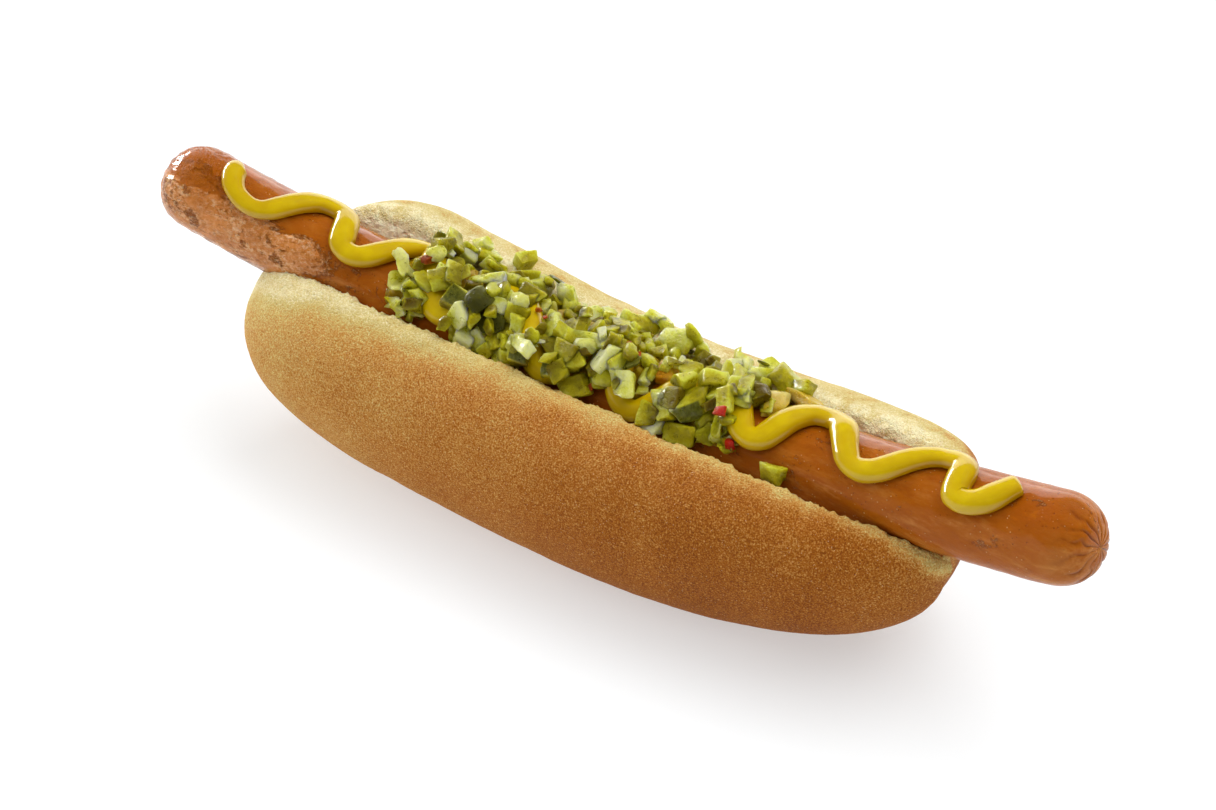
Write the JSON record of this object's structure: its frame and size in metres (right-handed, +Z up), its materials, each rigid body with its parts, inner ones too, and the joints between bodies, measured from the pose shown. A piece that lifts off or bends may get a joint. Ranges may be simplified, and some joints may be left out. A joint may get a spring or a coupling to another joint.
{
  "type": "hot dog",
  "caption": "Hot dog: a long grilled sausage in a hinged bread bun, topped with a zigzag of mustard and a heap of diced green relish.",
  "frame": {"origin": "middle of the flat spot under the bun's hinge, on the surface it stands on", "axes": "+X along the sausage, +Y from the near half of the bun to the far half, +Z up"},
  "size_m": [0.2536, 0.0684, 0.0701],
  "materials": {
    "bun": "golden brown matt crust that pales to cream at the rims, cream crumb on the cut faces",
    "sausage": "glossy orange-brown grilled skin",
    "mustard": "glossy bright yellow paste",
    "relish": "wet translucent yellow-green dice with dark green skins"
  },
  "bodies": {
    "root": {"bun": "bun", "sausage": "sausage", "mustard": "mustard", "relish": "relish"}
  },
  "joints": []
}
